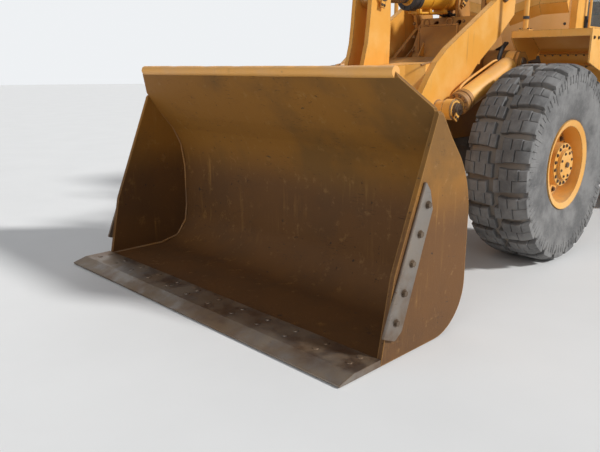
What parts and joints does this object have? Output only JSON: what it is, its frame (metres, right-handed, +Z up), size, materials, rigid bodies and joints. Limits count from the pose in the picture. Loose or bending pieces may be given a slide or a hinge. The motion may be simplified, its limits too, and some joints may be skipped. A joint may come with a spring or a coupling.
{
  "type": "wheel loader",
  "caption": "Articulated wheel loader with a wide bucket on lift arms, a bell-crank linkage, a closed cab and a rear engine under a hood.",
  "frame": {"origin": "on the floor under the middle of the overall length and width", "axes": "+X forward to the bucket, +Y left, +Z up"},
  "size_m": [8.1, 2.92, 3.3599],
  "materials": {
    "yellow_paint": "worn, satin",
    "dark_steel": "matt dark grey paint",
    "worn_steel": "scuffed bare steel",
    "rod_chrome": "ground and polished",
    "tyre_rubber": "dusty",
    "glass": "clear",
    "black_plastic": "matt",
    "lamp_clear": "gloss"
  },
  "bodies": {
    "rear_body": {"rear_frame": "yellow_paint", "rear_axle": "dark_steel", "engine_block": "dark_steel", "counterweight": "yellow_paint", "side_decks": "dark_steel", "cab_floor": "dark_steel", "cab_shell": "yellow_paint", "cab_roof": "yellow_paint", "cab_glass": "glass", "seat": "black_plastic", "steering_console": "black_plastic", "rear_fenders": "yellow_paint", "hood": "yellow_paint", "tail_grille": "dark_steel", "hood_stacks": "dark_steel", "rear_lamps": "lamp_clear"},
    "front_body": {"front_frame": "yellow_paint", "front_axle": "dark_steel", "front_fenders": "yellow_paint", "headlamps": "lamp_clear"},
    "arms": {"lift_arms": "yellow_paint"},
    "crank": {"bell_crank": "yellow_paint"},
    "link": {"bucket_link": "yellow_paint"},
    "bucket": {"bucket_shell": "yellow_paint", "cutting_edge": "worn_steel"},
    "lift_barrels": {"lift_cylinder_barrels": "yellow_paint"},
    "lift_rods": {"lift_cylinder_rods": "rod_chrome"},
    "tilt_barrel": {"bucket_cylinder_barrel": "yellow_paint"},
    "tilt_rod": {"bucket_cylinder_rod": "rod_chrome"},
    "steer_barrel_l": {"steer_barrel_left": "yellow_paint"},
    "steer_rod_l": {"steer_rod_left": "rod_chrome"},
    "steer_barrel_r": {"steer_barrel_right": "yellow_paint"},
    "steer_rod_r": {"steer_rod_right": "rod_chrome"},
    "door": {"cab_door": "yellow_paint", "door_glass": "glass"},
    "cover_left": {"engine_cover_left": "yellow_paint"},
    "cover_right": {"engine_cover_right": "yellow_paint"},
    "wheel_fl": {"tyre_front_left": "tyre_rubber", "rim_front_left": "yellow_paint"},
    "wheel_fr": {"tyre_front_right": "tyre_rubber", "rim_front_right": "yellow_paint"},
    "wheel_rl": {"tyre_rear_left": "tyre_rubber", "rim_rear_left": "yellow_paint"},
    "wheel_rr": {"tyre_rear_right": "tyre_rubber", "rim_rear_right": "yellow_paint"}
  },
  "joints": [
    {"name": "steer", "type": "hinge", "parent": "rear_body", "child": "front_body", "pos_m": [-0.5, 0, 0.92], "axis": [0, 0, 1], "range_deg": [-37, 37]},
    {"name": "arm_lift", "type": "hinge", "parent": "front_body", "child": "arms", "pos_m": [0.87, 0, 2.17], "axis": [0, -1, 0], "range_deg": [0, 84]},
    {"name": "bucket_tilt", "type": "hinge", "parent": "arms", "child": "bucket", "pos_m": [2.74, 0, 0.44], "axis": [0, -1, 0], "range_deg": [-125, 40]},
    {"name": "crank_turn", "type": "hinge", "parent": "arms", "child": "crank", "pos_m": [2.16, 0, 1.39], "axis": [0, -1, 0], "range_deg": [-20, 40]},
    {"name": "link_swing", "type": "hinge", "parent": "bucket", "child": "link", "pos_m": [2.79, 0, 0.8], "axis": [0, -1, 0], "range_deg": [-45, 110]},
    {"name": "lift_barrel_swing", "type": "hinge", "parent": "front_body", "child": "lift_barrels", "pos_m": [0.865, 0, 1.612], "axis": [0, -1, 0], "range_deg": [0, 80]},
    {"name": "lift_rod_slide", "type": "slide", "parent": "lift_barrels", "child": "lift_rods", "axis": [0.9344, 0, -0.3561], "range_m": [0, 0.76]},
    {"name": "tilt_barrel_swing", "type": "hinge", "parent": "front_body", "child": "tilt_barrel", "pos_m": [0.86, 0, 2.18], "axis": [0, -1, 0], "range_deg": [0, 90]},
    {"name": "tilt_rod_slide", "type": "slide", "parent": "tilt_barrel", "child": "tilt_rod", "axis": [0.9985, 0, -0.0557], "range_m": [-0.37, 0.12]},
    {"name": "steer_barrel_swing_left", "type": "hinge", "parent": "rear_body", "child": "steer_barrel_l", "pos_m": [-0.96, 0.47, 0.89], "axis": [0, 0, 1], "range_deg": [-20, 20]},
    {"name": "steer_rod_slide_left", "type": "slide", "parent": "steer_barrel_l", "child": "steer_rod_l", "axis": [0.9998, -0.0208, 0], "range_m": [-0.255, 0.255]},
    {"name": "steer_barrel_swing_right", "type": "hinge", "parent": "rear_body", "child": "steer_barrel_r", "pos_m": [-0.96, -0.47, 0.89], "axis": [0, 0, 1], "range_deg": [-20, 20]},
    {"name": "steer_rod_slide_right", "type": "slide", "parent": "steer_barrel_r", "child": "steer_rod_r", "axis": [0.9998, 0.0208, 0], "range_m": [-0.255, 0.255]},
    {"name": "cab_door_swing", "type": "hinge", "parent": "rear_body", "child": "door", "pos_m": [-0.916, 0.776, 2.4], "axis": [0, 0, 1], "range_deg": [0, 85]},
    {"name": "cover_left_lift", "type": "hinge", "parent": "rear_body", "child": "cover_left", "pos_m": [-2.55, 0.712, 2.158], "axis": [1, 0, 0], "range_deg": [0, 75]},
    {"name": "cover_right_lift", "type": "hinge", "parent": "rear_body", "child": "cover_right", "pos_m": [-2.55, -0.712, 2.158], "axis": [-1, 0, 0], "range_deg": [0, 75]},
    {"name": "wheel_spin_fl", "type": "hinge", "parent": "front_body", "child": "wheel_fl", "pos_m": [1.1, 1.05, 0.8], "axis": [0, 1, 0], "continuous": true},
    {"name": "wheel_spin_fr", "type": "hinge", "parent": "front_body", "child": "wheel_fr", "pos_m": [1.1, -1.05, 0.8], "axis": [0, 1, 0], "continuous": true},
    {"name": "wheel_spin_rl", "type": "hinge", "parent": "rear_body", "child": "wheel_rl", "pos_m": [-2.1, 1.05, 0.8], "axis": [0, 1, 0], "continuous": true},
    {"name": "wheel_spin_rr", "type": "hinge", "parent": "rear_body", "child": "wheel_rr", "pos_m": [-2.1, -1.05, 0.8], "axis": [0, 1, 0], "continuous": true}
  ],
  "couplings": [
    {"joint": "crank_turn", "follows": "bucket_tilt", "ratio": -0.28},
    {"joint": "link_swing", "follows": "bucket_tilt", "ratio": -0.72},
    {"joint": "tilt_rod_slide", "follows": "bucket_tilt", "m_per_rad": 0.165},
    {"joint": "tilt_barrel_swing", "follows": "arm_lift", "ratio": 1},
    {"joint": "lift_barrel_swing", "follows": "arm_lift", "ratio": 0.892},
    {"joint": "lift_rod_slide", "follows": "arm_lift", "m_per_rad": 0.4884},
    {"joint": "steer_barrel_swing_left", "follows": "steer", "ratio": 0.52},
    {"joint": "steer_barrel_swing_right", "follows": "steer", "ratio": 0.52},
    {"joint": "steer_rod_slide_left", "follows": "steer", "m_per_rad": -0.39},
    {"joint": "steer_rod_slide_right", "follows": "steer", "m_per_rad": 0.39}
  ]
}
